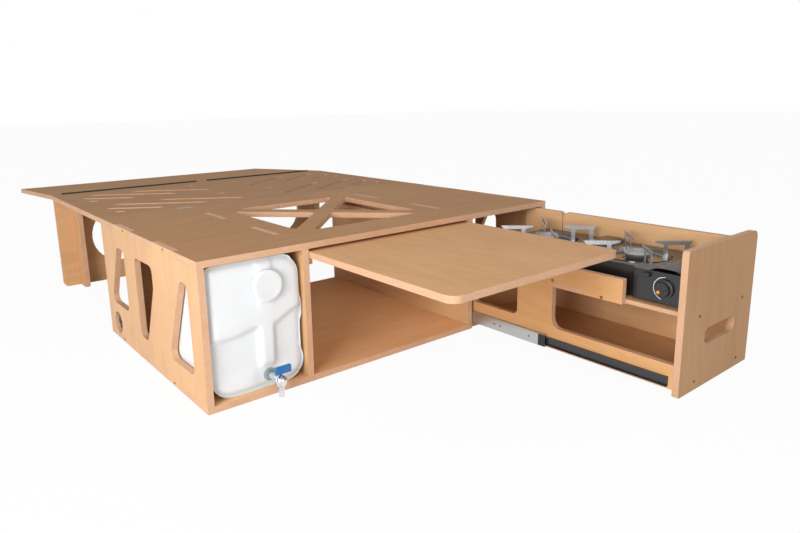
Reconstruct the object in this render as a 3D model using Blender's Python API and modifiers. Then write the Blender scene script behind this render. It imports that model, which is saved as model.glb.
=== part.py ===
# Camper van kitchen box: a plywood bed base with a pull-out kitchen drawer, a table and a water bay.
# Metres, +Z up. The origin is the middle of the cabinet's underside; the front faces -Y.
import bpy
import bmesh
from math import sin, cos, tan, pi, radians, hypot, atan2
from mathutils import Matrix, Vector

for thing in list(bpy.data.objects):
    bpy.data.objects.remove(thing, do_unlink=True)

# Driving dimensions of the box
PLY = 0.018
SHELF_PLY = 0.012
GAP = 0.0003
DEPTH = 0.820
HEIGHT = 0.404
CANISTER_BAY = 0.282
TABLE_BAY = 0.624
DRAWER_BAY = 0.368
BED_MIDDLE = 0.755
BED_END = 0.345
CORNER = 0.020
OVERRUN = 0.004

WIDTH = CANISTER_BAY + TABLE_BAY + DRAWER_BAY + 4 * PLY
CEILING = HEIGHT - PLY
LEFT_DIVIDER = PLY + CANISTER_BAY
RIGHT_DIVIDER = LEFT_DIVIDER + PLY + TABLE_BAY
DRAWER_WALL_LEFT = RIGHT_DIVIDER + PLY
DRAWER_WALL_RIGHT = WIDTH - PLY

# Every place below is written from the cabinet's lower front left corner; this shift centres the part
SHIFT = Vector((-WIDTH / 2, -DEPTH / 2, 0))

BIRCH = ((0.72, 0.46, 0.25), 0.55)
BLACK_ENAMEL = ((0.02, 0.02, 0.022), 0.35)
STEEL = ((0.62, 0.62, 0.62), 0.3, 1.0)
ZINC = ((0.5, 0.5, 0.5), 0.4, 1.0)
BLACK_PLASTIC = ((0.025, 0.025, 0.025), 0.5)
WHITE_PLASTIC = ((0.86, 0.88, 0.9), 0.35)
BLUE_PLASTIC = ((0.02, 0.12, 0.55), 0.35)

collection = bpy.data.collections.new("camper_kitchen_box")
cutters = bpy.data.collections.new("cutters")
bpy.context.scene.collection.children.link(collection)
bpy.context.scene.collection.children.link(cutters)


def finish(obj, colour, roughness, metallic=0.0):
    paint = bpy.data.materials.new(obj.name)
    paint.use_nodes = True
    shader = paint.node_tree.nodes["Principled BSDF"]
    shader.inputs["Base Color"].default_value = (*colour, 1)
    shader.inputs["Roughness"].default_value = roughness
    shader.inputs["Metallic"].default_value = metallic
    obj.data.materials.append(paint)
    collection.objects.link(obj)
    return obj


# Flat shapes: a rectangle, a circle and a filleted outline, as points of (u, v)
FILLET_LIMIT_SHARE = 0.499


def rectangle(low_u, low_v, high_u, high_v):
    return [(low_u, low_v), (high_u, low_v), (high_u, high_v), (low_u, high_v)]


def circle(centre_u, centre_v, radius, sides=32):
    turn = 2 * pi / sides
    return [(centre_u + radius * cos(i * turn), centre_v + radius * sin(i * turn)) for i in range(sides)]


def rounded(points, radius, steps=4):
    # Each corner becomes an arc; radius is one value, or one for each corner
    radii = radius if isinstance(radius, list) else [radius] * len(points)
    out = []
    for i, corner in enumerate(points):
        here = Vector(corner)
        before = Vector(points[i - 1]) - here
        after = Vector(points[(i + 1) % len(points)]) - here
        half = before.angle(after) / 2
        shortest = min(before.length, after.length)
        reach = min(radii[i] / tan(half), shortest * FILLET_LIMIT_SHARE)
        if reach <= 0:
            out.append(corner)
            continue
        bend = reach * tan(half)
        centre = here + (before.normalized() + after.normalized()).normalized() * (bend / sin(half))
        start = here + before.normalized() * reach - centre
        stop = here + after.normalized() * reach - centre
        first = atan2(start.y, start.x)
        sweep = (atan2(stop.y, stop.x) - first + pi) % (2 * pi) - pi
        for step in range(steps + 1):
            angle = first + sweep * step / steps
            out.append((centre.x + bend * cos(angle), centre.y + bend * sin(angle)))
    return out


PLANES = {
    "XY": (Matrix.Identity(4), Vector((0, 0, 1))),
    "YZ": (Matrix(((0, 0, 1, 0), (1, 0, 0, 0), (0, 1, 0, 0), (0, 0, 0, 1))), Vector((1, 0, 0))),
    "XZ": (Matrix(((1, 0, 0, 0), (0, 0, -1, 0), (0, 1, 0, 0), (0, 0, 0, 1))), Vector((0, 1, 0))),
}


def board(name, outline, plane, base, thickness, holes=(), paint=BIRCH):
    # A flat piece: its outline and holes lie in the plane, and it is thickness deep from base
    curve = bpy.data.curves.new(name, "CURVE")
    curve.dimensions = "2D"
    curve.fill_mode = "BOTH"
    curve.extrude = thickness / 2
    for ring in [outline, *holes]:
        spline = curve.splines.new("POLY")
        spline.points.add(len(ring) - 1)
        for point, (u, v) in zip(spline.points, ring):
            point.co = (u, v, 0, 1)
        spline.use_cyclic_u = True
    obj = bpy.data.objects.new(name, curve)
    turn, normal = PLANES[plane]
    obj.matrix_world = Matrix.Translation(SHIFT + normal * (base + thickness / 2)) @ turn
    return finish(obj, *paint)


def as_mesh(obj):
    # The shape as it is seen, welded into one plain mesh that can be cut and joined
    bpy.context.view_layer.update()
    seen = obj.evaluated_get(bpy.context.evaluated_depsgraph_get())
    mesh = bpy.data.meshes.new_from_object(seen)
    solid = bmesh.new()
    solid.from_mesh(mesh)
    bmesh.ops.remove_doubles(solid, verts=solid.verts, dist=GAP / 10)
    solid.to_mesh(mesh)
    solid.free()
    name, where = obj.name, obj.matrix_world.copy()
    bpy.data.objects.remove(obj, do_unlink=True)
    made = bpy.data.objects.new(name, mesh)
    made.matrix_world = where
    collection.objects.link(made)
    return made


def cut(obj, tool, operation="DIFFERENCE"):
    tool.hide_render = True
    tool.display_type = "WIRE"
    collection.objects.unlink(tool)
    cutters.objects.link(tool)
    boolean = obj.modifiers.new(tool.name, "BOOLEAN")
    boolean.operation = operation
    boolean.solver = "EXACT"
    boolean.object = tool


def block(name, low, high, paint, bevel=0.0, segments=2):
    mesh = bpy.data.meshes.new(name)
    solid = bmesh.new()
    bmesh.ops.create_cube(solid, size=1)
    low, high = Vector(low), Vector(high)
    bmesh.ops.scale(solid, vec=high - low, verts=solid.verts)
    if bevel:
        bmesh.ops.bevel(solid, geom=solid.edges[:], offset=bevel, segments=segments, affect="EDGES",
                        profile=0.5, material=-1)
    solid.to_mesh(mesh)
    solid.free()
    obj = bpy.data.objects.new(name, mesh)
    obj.location = SHIFT + (low + high) / 2
    return finish(obj, *paint)


AXES = {
    "X": Matrix.Rotation(radians(90), 4, "Y"),
    "Y": Matrix.Rotation(radians(-90), 4, "X"),
    "Z": Matrix.Identity(4),
}
SMOOTH_ANGLE = radians(40)


def turned(name, profile, centre, axis, paint, steps=32):
    # The profile is (radius, height) from the top down; height runs along the axis
    mesh = bpy.data.meshes.new(name)
    line = bmesh.new()
    ring = profile[0] == profile[-1]
    verts = [line.verts.new((radius, 0, height)) for radius, height in (profile[:-1] if ring else profile)]
    for first, second in zip(verts, verts[1:] + verts[:1] if ring else verts[1:]):
        line.edges.new((first, second))
    line.to_mesh(mesh)
    line.free()
    obj = bpy.data.objects.new(name, mesh)
    obj.matrix_world = Matrix.Translation(SHIFT + Vector(centre)) @ AXES[axis]
    screw = obj.modifiers.new("turn", "SCREW")
    screw.steps = steps
    screw.render_steps = steps
    screw.use_merge_vertices = True
    screw.merge_threshold = GAP / 10
    made = as_mesh(finish(obj, *paint))
    made.data.shade_smooth()
    made.data.set_sharp_from_angle(angle=SMOOTH_ANGLE)
    return made


def disc(name, centre, radius, length, axis, paint, sides=24):
    profile = [(0, length), (radius, length), (radius, 0), (0, 0)]
    return turned(name, profile, centre, axis, paint, sides)


# Finger joints: the uprights' tabs come through the top and the bottom, at these shares of the depth
TAB_SHARES = ((0.19, 0.38), (0.62, 0.81))
TABS = [(DEPTH * low, DEPTH * high) for low, high in TAB_SHARES]


def upright_outline():
    floor, ceiling = PLY + GAP, CEILING - GAP
    points = [(0, floor)]
    for low, high in TABS:
        points += [(low, floor), (low, 0), (high, 0), (high, floor)]
    points += [(DEPTH, floor), (DEPTH, ceiling)]
    for low, high in reversed(TABS):
        points += [(high, ceiling), (high, HEIGHT), (low, HEIGHT), (low, ceiling)]
    return points + [(0, ceiling)]


def deck_outline(front_edge, back_edge):
    # The side edges of the top and of the bottom have a notch for each tab
    inner_left, inner_right = PLY + GAP, WIDTH - PLY - GAP
    points = list(front_edge)
    for low, high in TABS:
        points += [(WIDTH, low - GAP), (inner_right, low - GAP), (inner_right, high + GAP), (WIDTH, high + GAP)]
    points += back_edge
    for low, high in reversed(TABS):
        points += [(0, high + GAP), (inner_left, high + GAP), (inner_left, low - GAP), (0, low - GAP)]
    return points


divider_mortises = [rectangle(wall - GAP, low - GAP, wall + PLY + GAP, high + GAP)
                    for wall in (LEFT_DIVIDER, RIGHT_DIVIDER) for low, high in TABS]

# Side panels: two leaning windows and a V-shaped one between them, as shares of the depth and the height
WINDOW_ROUND = 0.022
FAR_WINDOW_SHIFT_SHARE = 0.183
FRONT_WINDOW_SHARES = ((0.085, 0.203), (0.300, 0.203), (0.154, 0.817), (0.093, 0.817))
MIDDLE_WINDOW_SHARES = ((0.598, 0.188), (0.598, 0.809), (0.412, 0.809), (0.412, 0.649), (0.522, 0.188))
REAR_WINDOW_SHARES = ((0.724, 0.312), (0.939, 0.312), (0.810, 0.812), (0.724, 0.812))
BACK_PANEL_SHARE = 0.674
TENON_SHARES = (0.327, 0.688)
CLAMP_HOLE = 0.037
CLAMP_FROM_BACK = 0.092
CLAMP_PLATE = (0.090, 0.076, 0.004)
CLAMP_LIFT = 0.001

windows = [rounded([(DEPTH * u, HEIGHT * v) for u, v in shares], WINDOW_ROUND)
           for shares in (FRONT_WINDOW_SHARES, MIDDLE_WINDOW_SHARES, REAR_WINDOW_SHARES)]
clamp_y = DEPTH - CLAMP_FROM_BACK
clamp_z = PLY + CLAMP_LIFT + CLAMP_PLATE[1] / 2
back_y = DEPTH * BACK_PANEL_SHARE
tenon_low, tenon_high = [HEIGHT * share for share in TENON_SHARES]
tenon_hole = rectangle(back_y - GAP, tenon_low - GAP, back_y + PLY + GAP, tenon_high + GAP)
clamp_hole = circle(clamp_y, clamp_z, CLAMP_HOLE)
board("side_panel_left", upright_outline(), "YZ", 0, PLY, [*windows, tenon_hole, clamp_hole])
far_front_window = [(y + DEPTH * FAR_WINDOW_SHIFT_SHARE, z) for y, z in windows[0]]
board("side_panel_right", upright_outline(), "YZ", DRAWER_WALL_RIGHT, PLY,
      [far_front_window, *windows[1:], clamp_hole])
board("divider_left", upright_outline(), "YZ", LEFT_DIVIDER, PLY)
board("divider_right", upright_outline(), "YZ", RIGHT_DIVIDER, PLY)

# The panel behind the canister, with a tenon through the side panel
back_left, back_right = PLY + GAP, LEFT_DIVIDER - GAP
back_outline = [(back_left, PLY + GAP), (back_right, PLY + GAP), (back_right, CEILING - GAP),
                (back_left, CEILING - GAP), (back_left, tenon_high), (0, tenon_high),
                (0, tenon_low), (back_left, tenon_low)]
board("canister_back_panel", back_outline, "XZ", back_y, PLY)

# Hinges let into the seams of the bed boards: how they are spread over the width, and their sizes
HINGE_SHARES = (0.22, 0.78)
HINGE_LENGTH = 0.060
KNUCKLE = 0.003
LEAF_THICK = 0.0015
LEAF_HIGH = 0.014
POCKET = KNUCKLE + GAP
HINGE_PLACES = [share * WIDTH for share in HINGE_SHARES]


def pocketed_edge(y, toward):
    # A board's edge at y, from left to right, with a pocket for each hinge
    points = []
    for middle in HINGE_PLACES:
        low, high = middle - HINGE_LENGTH / 2, middle + HINGE_LENGTH / 2
        points += [(low, y), (low, y + toward * POCKET), (high, y + toward * POCKET), (high, y)]
    return points


# Top board: two crossing braces leave four triangles of the window over the table bay open
BRACE = 0.055
BRACE_ROUND = 0.010
BRACE_WINDOW_SIDE = 0.068
BRACE_WINDOW_FRONT = 0.141
BRACE_WINDOW_BACK = 0.161


def brace_triangles():
    wide = TABLE_BAY - 2 * BRACE_WINDOW_SIDE
    deep = DEPTH - BRACE_WINDOW_FRONT - BRACE_WINDOW_BACK
    middle = Vector((LEFT_DIVIDER + PLY + TABLE_BAY / 2, BRACE_WINDOW_FRONT + deep / 2))
    length = hypot(wide, deep)
    up, across = BRACE / 2 * length / wide, BRACE / 2 * length / deep
    triangles = []
    for side in (-1, 1):
        triangles.append([(side * across, 0), (side * wide / 2, deep / 2 - up), (side * wide / 2, up - deep / 2)])
        triangles.append([(0, side * up), (across - wide / 2, side * deep / 2), (wide / 2 - across, side * deep / 2)])
    placed = [[(middle.x + u, middle.y + v) for u, v in triangle] for triangle in triangles]
    return [rounded(triangle, BRACE_ROUND, 3) for triangle in placed]


DECK_STEP = 0.010
top_outline = deck_outline([(0, 0), (WIDTH, 0)],
                           [(WIDTH, DEPTH), *reversed(pocketed_edge(DEPTH, -1)), (0, DEPTH)])
board("top_panel", top_outline, "XY", CEILING, PLY, [*divider_mortises, *brace_triangles()])
stepped_front = [(0, 0), (DRAWER_WALL_LEFT, 0), (DRAWER_WALL_LEFT, DECK_STEP), (WIDTH, DECK_STEP)]
bottom_outline = deck_outline(stepped_front, [(WIDTH, DEPTH), (0, DEPTH)])
board("bottom_panel", bottom_outline, "XY", 0, PLY, divider_mortises)

# Bed boards behind the cabinet: two rows of slanting slots, and a slanted far right corner
SEAM_OPEN = 0.002
SLANT_BEFORE_SEAM = 0.035
SLANT_OFF = 0.196
FLARE = 0.055
SLOT_SLOPE = 0.70
SLOT_ALONG_X = 0.048
SLOT_PITCH = 0.175
SLOT_LEAD = 0.042
SLOT_FIELD = 0.500
SLOT_MARGIN = 0.075
SLOT_ROW = 0.205
SLOT_ROW_SHARES = (0.106, 0.556)
SLOT_ROUND = 0.008
SLOT_CORNER = (0.052, 0.036)

seam_one = DEPTH
seam_two = seam_one + BED_MIDDLE
bed_far = seam_two + BED_END
slant_start = seam_two - SLANT_BEFORE_SEAM


def clip(points, limit, keep_above):
    # The part of a flat shape on one side of the line u = limit
    side = 1 if keep_above else -1
    out = []
    for (u0, v0), (u1, v1) in zip(points, points[1:] + points[:1]):
        inside0, inside1 = side * (u0 - limit) >= 0, side * (u1 - limit) >= 0
        if inside0:
            out.append((u0, v0))
        if inside0 != inside1:
            share = (limit - u0) / (u1 - u0)
            out.append((limit, v0 + share * (v1 - v0)))
    return out


def bed_slots():
    slots = []
    lean = SLOT_ROW / SLOT_SLOPE
    right = WIDTH - SLOT_MARGIN
    left = right - SLOT_FIELD
    for share in SLOT_ROW_SHARES:
        low = seam_one + BED_MIDDLE * share
        high = low + SLOT_ROW
        shapes = [[(left, high - SLOT_CORNER[1]), (left + SLOT_CORNER[0], high), (left, high)],
                  [(right - SLOT_CORNER[0], low), (right, low), (right, low + SLOT_CORNER[1])]]
        for number in range(3):
            start = left - SLOT_LEAD + number * SLOT_PITCH
            shape = [(start, low), (start + SLOT_ALONG_X, low),
                     (start + SLOT_ALONG_X + lean, high), (start + lean, high)]
            shapes.append(clip(clip(shape, left, True), right, False))
        for shape in shapes:
            shape = rounded(shape, SLOT_ROUND, 2)
            slots += [shape, [(WIDTH - u, v) for u, v in shape]]
    return slots


def slant_x(y):
    return WIDTH - SLANT_OFF * (y - slant_start) / (bed_far - slant_start)


bed_near = seam_one + GAP
middle_far = seam_two - SEAM_OPEN / 2
end_near = seam_two + SEAM_OPEN / 2
middle_outline = [(0, bed_near), *pocketed_edge(bed_near, 1), (WIDTH, bed_near),
                  (WIDTH, slant_start), (slant_x(middle_far), middle_far),
                  (0, middle_far)]
board("bed_board_middle", middle_outline, "XY", CEILING, PLY, bed_slots())
end_outline = [(0, end_near), (slant_x(end_near), end_near),
               (slant_x(bed_far), bed_far), (-FLARE, bed_far)]
board("bed_board_end", end_outline, "XY", CEILING, PLY)

# Lift hinges of the middle board, let into the cabinet's rear edge, with the fold line a hair above the top
LIFT_LINE = (seam_one + GAP / 2, HEIGHT + GAP / 2)
INNER_LEAF_SHARE = 0.4
KNUCKLE_STEPS = 12
KNUCKLE_TURN = 1.5 * pi
lift_y, lift_z = LIFT_LINE


def lift_leaf(name, middle, side, width):
    # A knuckle round the fold line with its leaf, flat against the board's edge in its pocket
    outer = lift_y + side * KNUCKLE
    inner = outer - side * LEAF_THICK
    tip = lift_z - LEAF_HIGH
    first = 0 if side > 0 else pi
    points = [(outer, tip)]
    for step in range(KNUCKLE_STEPS + 1):
        angle = first + side * KNUCKLE_TURN * step / KNUCKLE_STEPS
        points.append((lift_y + KNUCKLE * cos(angle), lift_z + KNUCKLE * sin(angle)))
    points += [(inner, lift_z - KNUCKLE), (inner, tip)]
    return board(name, points, "YZ", middle - width / 2 + GAP, width - 2 * GAP, paint=STEEL)


for hand, middle in zip(("left", "right"), HINGE_PLACES):
    # The bed leaf's knuckle turns in a gap cut from the middle of the cabinet leaf's knuckle
    gap_wide = HINGE_LENGTH * INNER_LEAF_SHARE
    lift_leaf(f"lift_hinge_{hand}_bed_leaf", middle, 1, gap_wide)
    leaf = as_mesh(lift_leaf(f"lift_hinge_{hand}_cabinet_leaf", middle, -1, HINGE_LENGTH))
    room = KNUCKLE + 2 * GAP
    cut(leaf, block(f"lift_hinge_{hand}_gap", (middle - gap_wide / 2, lift_y - room, lift_z - room),
                    (middle + gap_wide / 2, lift_y + room, lift_z + room), STEEL))

# Two long hinges lie on top across the second seam, and the end board folds up on them
LONG_HINGE_SHARES = ((0.033, 0.483), (0.524, 0.958))
LONG_LEAF = 0.011
LONG_SHEET = 0.0012
LONG_KNUCKLE = 0.0025
LONG_PARTS = 7

fold_y, fold_z = seam_two, HEIGHT + GAP + LONG_KNUCKLE


def long_leaf(name, low, high, side):
    # The sheet lies on the board, and runs into a knuckle round the fold line
    sheet_low, sheet_top = HEIGHT + GAP, HEIGHT + GAP + LONG_SHEET
    first = -pi / 2
    points = [(fold_y + side * LONG_LEAF, sheet_low)]
    for step in range(KNUCKLE_STEPS + 1):
        angle = first - side * KNUCKLE_TURN * step / KNUCKLE_STEPS
        points.append((fold_y + LONG_KNUCKLE * cos(angle), fold_z + LONG_KNUCKLE * sin(angle)))
    points = points[:-1] + [(fold_y + side * LONG_KNUCKLE, sheet_top), (fold_y + side * LONG_LEAF, sheet_top)]
    leaf = as_mesh(board(name, points, "YZ", low, high - low, paint=BLACK_ENAMEL))
    part_long = (high - low) / LONG_PARTS
    room = LONG_KNUCKLE + 2 * GAP
    for number in range(0 if side > 0 else 1, LONG_PARTS, 2):
        start = low + number * part_long - (GAP if number else OVERRUN)
        stop = low + (number + 1) * part_long + (GAP if number < LONG_PARTS - 1 else OVERRUN)
        cut(leaf, block(f"{name}_gap_{number}", (start, fold_y - room, fold_z - room),
                        (stop, fold_y + room, fold_z + room), BLACK_ENAMEL))


for hand, (low_share, high_share) in zip(("left", "right"), LONG_HINGE_SHARES):
    long_leaf(f"fold_hinge_{hand}_middle_leaf", WIDTH * low_share, WIDTH * high_share, -1)
    long_leaf(f"fold_hinge_{hand}_end_leaf", WIDTH * low_share, WIDTH * high_share, 1)

# The leg stand by the second seam: a long panel with a round-ended window, cross-halved with two fins
STAND_BEFORE_SEAM = 0.028
STAND_INSET = 0.005
STAND_WINDOW_INSET = 0.141
STAND_SILL = 0.080
STAND_HEAD = 0.058
FIN_INSET = 0.073
FIN_BEFORE = 0.086
FIN_LENGTH = 0.190

stand_y = seam_two - STAND_BEFORE_SEAM
stand_top = CEILING - GAP
halving = stand_top / 2
fin_places = (FIN_INSET, WIDTH - FIN_INSET - PLY)
stand_left, stand_right = STAND_INSET, WIDTH - STAND_INSET
stand_outline = [(stand_left, 0)]
for fin in fin_places:
    stand_outline += [(fin - GAP, 0), (fin - GAP, halving + GAP), (fin + PLY + GAP, halving + GAP),
                      (fin + PLY + GAP, 0)]
stand_outline += [(stand_right, 0), (stand_right, stand_top), (stand_left, stand_top)]
stand_radii = [CORNER] + [0] * (len(stand_outline) - 4) + [CORNER, 0, 0]
sill, head = STAND_SILL, stand_top - STAND_HEAD
stand_window = rounded(rectangle(STAND_WINDOW_INSET, sill, WIDTH - STAND_WINDOW_INSET, head), (head - sill) / 2, 8)
board("stand_panel", rounded(stand_outline, stand_radii), "XZ", stand_y, PLY, [stand_window])
fin_front = stand_y - FIN_BEFORE
fin_back = fin_front + FIN_LENGTH
stand_back = stand_y + PLY
fin_outline = [(fin_front, 0), (fin_back, 0), (fin_back, stand_top), (stand_back + GAP, stand_top),
               (stand_back + GAP, halving), (stand_y - GAP, halving),
               (stand_y - GAP, stand_top), (fin_front, stand_top)]
for name, fin in zip(("stand_fin_left", "stand_fin_right"), fin_places):
    board(name, rounded(fin_outline, [CORNER, CORNER, 0, 0, 0, 0, 0, 0]), "YZ", fin, PLY)

# A strap clamp in each round hole: a plate inside the panel with a stud, and a knob that turns on it
STUD = 0.004
STUD_PROUD = 0.0025
KNOB_RADIUS = 0.026
KNOB_THICK = 0.011
KNOB_LOBES = 5
KNOB_DENT = 0.0025
LOBE_STEPS = 8

low_y, low_z = clamp_y - CLAMP_PLATE[0] / 2, clamp_z - CLAMP_PLATE[1] / 2
plate_outline = rounded(rectangle(low_y, low_z, low_y + CLAMP_PLATE[0], low_z + CLAMP_PLATE[1]), CORNER / 2, 3)
knob_outline = []
for step in range(LOBE_STEPS * KNOB_LOBES):
    angle = 2 * pi * step / (LOBE_STEPS * KNOB_LOBES)
    radius = KNOB_RADIUS - KNOB_DENT * (1 - cos(KNOB_LOBES * angle))
    knob_outline.append((clamp_y + radius * cos(angle), clamp_z + radius * sin(angle)))
stud_long = CLAMP_PLATE[2] + GAP + KNOB_THICK + STUD_PROUD
bore = circle(clamp_y, clamp_z, STUD + GAP, 16)
for hand, plate_x, stud_x, knob_x in (
        ("left", PLY + GAP, PLY + GAP + CLAMP_PLATE[2] - stud_long, PLY - KNOB_THICK),
        ("right", WIDTH - PLY - GAP - CLAMP_PLATE[2], WIDTH - PLY - GAP - CLAMP_PLATE[2], WIDTH - PLY)):
    plate = as_mesh(board(f"clamp_plate_{hand}", plate_outline, "YZ", plate_x, CLAMP_PLATE[2], paint=BLACK_PLASTIC))
    cut(plate, disc(f"clamp_stud_{hand}", (stud_x, clamp_y, clamp_z), STUD, stud_long, "X", STEEL, 16), "UNION")
    board(f"clamp_knob_{hand}", knob_outline, "YZ", knob_x, KNOB_THICK, [bore], BLACK_PLASTIC)

# Table board and the runners that carry it under the top
TABLE_LENGTH = 0.700
TABLE_OUT = 0.560
TABLE_HEADROOM = 0.008
TABLE_PLAY = 0.002
TABLE_ROUND = 0.028
RUNNER_WIDE = 0.018
RUNNER_HIGH = 0.020
RUNNER_SET_BACK = 0.009

table_low = CEILING - TABLE_HEADROOM - PLY
table_left, table_right = LEFT_DIVIDER + PLY + TABLE_PLAY, RIGHT_DIVIDER - TABLE_PLAY
table_outline = rounded(rectangle(table_left, -TABLE_OUT, table_right, TABLE_LENGTH - TABLE_OUT),
                        [TABLE_ROUND, TABLE_ROUND, 0, 0], 6)
board("table_board", table_outline, "XY", table_low, PLY)
for hand, wall in (("left", LEFT_DIVIDER + PLY + GAP), ("right", RIGHT_DIVIDER - GAP - RUNNER_WIDE)):
    outline = rounded(rectangle(wall, RUNNER_SET_BACK, wall + RUNNER_WIDE, DEPTH - RUNNER_SET_BACK),
                      RUNNER_WIDE / 4, 2)
    board(f"table_runner_{hand}", outline, "XY", table_low - GAP - RUNNER_HIGH, RUNNER_HIGH)

# Drawer, shown pulled out. Places along it are measured from the back of its front panel
DRAWER_OUT = 0.7115
SLIDE_THICK = 0.0127
DRAWER_LENGTH = 0.760
DRAWER_LIFT = 0.003
RAIL_HIGH = 0.068
SHELF_RAISED = 0.197
TOP_RAIL = 0.059
STEP_AT = 0.158
SHELF_TAB_AT = 0.284
STILE_AT = 0.389
STILE_WIDE = 0.135
STILE_FILLET = 0.030
REAR_SILL = 0.006
REAR_HEAD = 0.018
REAR_STILE = 0.040
DRAWER_HEADROOM = 0.004
DIP_AT = 0.596
DIP_ROUND = 0.016
SLIT_HALF = 0.0015
SLIT_DEEP = 0.075
STEP_ROUND = 0.004
FRONT_WIDE = 0.400
FRONT_LIFT = 0.002
FRONT_BELOW_TOP = 0.006
HANDLE_FROM_LEFT = 0.209
HANDLE_HEIGHT = 0.144
HANDLE_SIZE = (0.180, 0.046)

drawer_left = DRAWER_WALL_LEFT + SLIDE_THICK + GAP
drawer_right = DRAWER_WALL_RIGHT - SLIDE_THICK - GAP
drawer_face = -DRAWER_OUT
drawer_back = drawer_face + DRAWER_LENGTH
drawer_low = PLY + DRAWER_LIFT
rail_top = drawer_low + RAIL_HIGH
shelf_low = drawer_low + SHELF_RAISED
shelf_high = shelf_low + SHELF_PLY
left_top = shelf_high + TOP_RAIL
right_top = CEILING - DRAWER_HEADROOM
inside_left, inside_right = drawer_left + PLY + GAP, drawer_right - PLY - GAP
near = drawer_face + GAP
step_y = drawer_face + STEP_AT
tab_low, tab_high = drawer_face + SHELF_TAB_AT, drawer_face + STILE_AT
stile_back = tab_high + STILE_WIDE

left_outline = [(near, drawer_low), (drawer_back, drawer_low), (drawer_back, left_top),
                (step_y, left_top), (step_y, shelf_low), (tab_low, shelf_low),
                (tab_low, shelf_high + GAP), (tab_high + GAP, shelf_high + GAP),
                (tab_high + GAP, rail_top), (near, rail_top)]
left_radii = [0, 0, CORNER, STEP_ROUND, 0, 0, 0, 0, STILE_FILLET, 0]
rear_opening = rounded(rectangle(stile_back, rail_top + REAR_SILL, drawer_back - REAR_STILE, shelf_low - REAR_HEAD),
                       CORNER)
board("drawer_side_left", rounded(left_outline, left_radii), "YZ", drawer_left, PLY, [rear_opening])
dip_y = drawer_face + DIP_AT
right_outline = [(near, drawer_low), (drawer_back, drawer_low), (drawer_back, right_top),
                 (dip_y + SLIT_HALF, right_top), (dip_y + SLIT_HALF, right_top - SLIT_DEEP),
                 (dip_y - SLIT_HALF, right_top - SLIT_DEEP), (dip_y - SLIT_HALF, right_top), (near, right_top)]
right_radii = [0, 0, CORNER, DIP_ROUND, 0, 0, DIP_ROUND, 0]
board("drawer_side_right", rounded(right_outline, right_radii), "YZ", drawer_right - PLY, PLY)
board("drawer_bottom", rectangle(inside_left, near, inside_right, drawer_back), "XY", drawer_low, SHELF_PLY)
back_low = drawer_low + SHELF_PLY + GAP
board("drawer_back", rectangle(inside_left, back_low, inside_right, shelf_low - GAP), "XZ", drawer_back - PLY, PLY)
shelf_outline = [(inside_left, near), (inside_right, near), (inside_right, drawer_back), (inside_left, drawer_back),
                 (inside_left, tab_high), (drawer_left, tab_high), (drawer_left, tab_low + GAP),
                 (inside_left, tab_low + GAP)]
board("stove_shelf", shelf_outline, "XY", shelf_low, SHELF_PLY)
front_left, front_top = drawer_left - GAP, HEIGHT - FRONT_BELOW_TOP
front_outline = rounded(rectangle(front_left, FRONT_LIFT, front_left + FRONT_WIDE, front_top),
                        [CORNER / 4, CORNER / 4, CORNER, CORNER / 2])
handle_x, handle_z = front_left + HANDLE_FROM_LEFT, HANDLE_HEIGHT
handle_slot = rounded(rectangle(handle_x - HANDLE_SIZE[0] / 2, handle_z - HANDLE_SIZE[1] / 2,
                                handle_x + HANDLE_SIZE[0] / 2, handle_z + HANDLE_SIZE[1] / 2),
                      HANDLE_SIZE[1] / 2, 8)
board("drawer_front", front_outline, "XZ", drawer_face - PLY, PLY, [handle_slot])

# Ball-bearing slides: an outer channel on the cabinet, a middle one, and an inner one on the drawer
SLIDE_TO_CLAMP = 0.011
SLIDE_SET_BACK = 0.012
SLIDE_STEEL = 0.0014
SLIDE_PLAY = 0.0005
SLIDE_LIFT = 0.0015
SLIDE_HALVES = {"outer": 0.0225, "middle": 0.0195, "inner": 0.0135}
SLIDE_REACH = {"outer": 0.0095, "middle": 0.0115, "inner": SLIDE_THICK}
MIDDLE_TRAVEL_SHARE = 0.45

slide_z = PLY + SLIDE_LIFT + SLIDE_HALVES["outer"]
slide_long = clamp_y - CLAMP_PLATE[0] / 2 - SLIDE_TO_CLAMP - SLIDE_SET_BACK
layer_travel = {"outer": 0, "middle": DRAWER_OUT * MIDDLE_TRAVEL_SHARE, "inner": DRAWER_OUT}


def channel(back, reach, half, side, wall, turned_round):
    low, high = slide_z - half, slide_z + half
    web = back + SLIDE_STEEL
    points = [(back, low), (reach, low), (reach, low + SLIDE_STEEL), (web, low + SLIDE_STEEL),
              (web, high - SLIDE_STEEL), (reach, high - SLIDE_STEEL), (reach, high), (back, high)]
    if turned_round:
        points = [(back + reach - u, v) for u, v in points]
    return [(wall + side * u, v) for u, v in points]


for hand, wall, side in (("left", DRAWER_WALL_LEFT, 1), ("right", DRAWER_WALL_RIGHT, -1)):
    for order, layer in enumerate(("outer", "middle", "inner")):
        back = GAP + order * (SLIDE_STEEL + SLIDE_PLAY)
        outline = channel(back, SLIDE_REACH[layer], SLIDE_HALVES[layer], side, wall, layer == "inner")
        paint = BLACK_ENAMEL if layer == "inner" else ZINC
        board(f"slide_{layer}_{hand}", outline, "XZ", SLIDE_SET_BACK - layer_travel[layer], slide_long, paint=paint)

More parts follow.
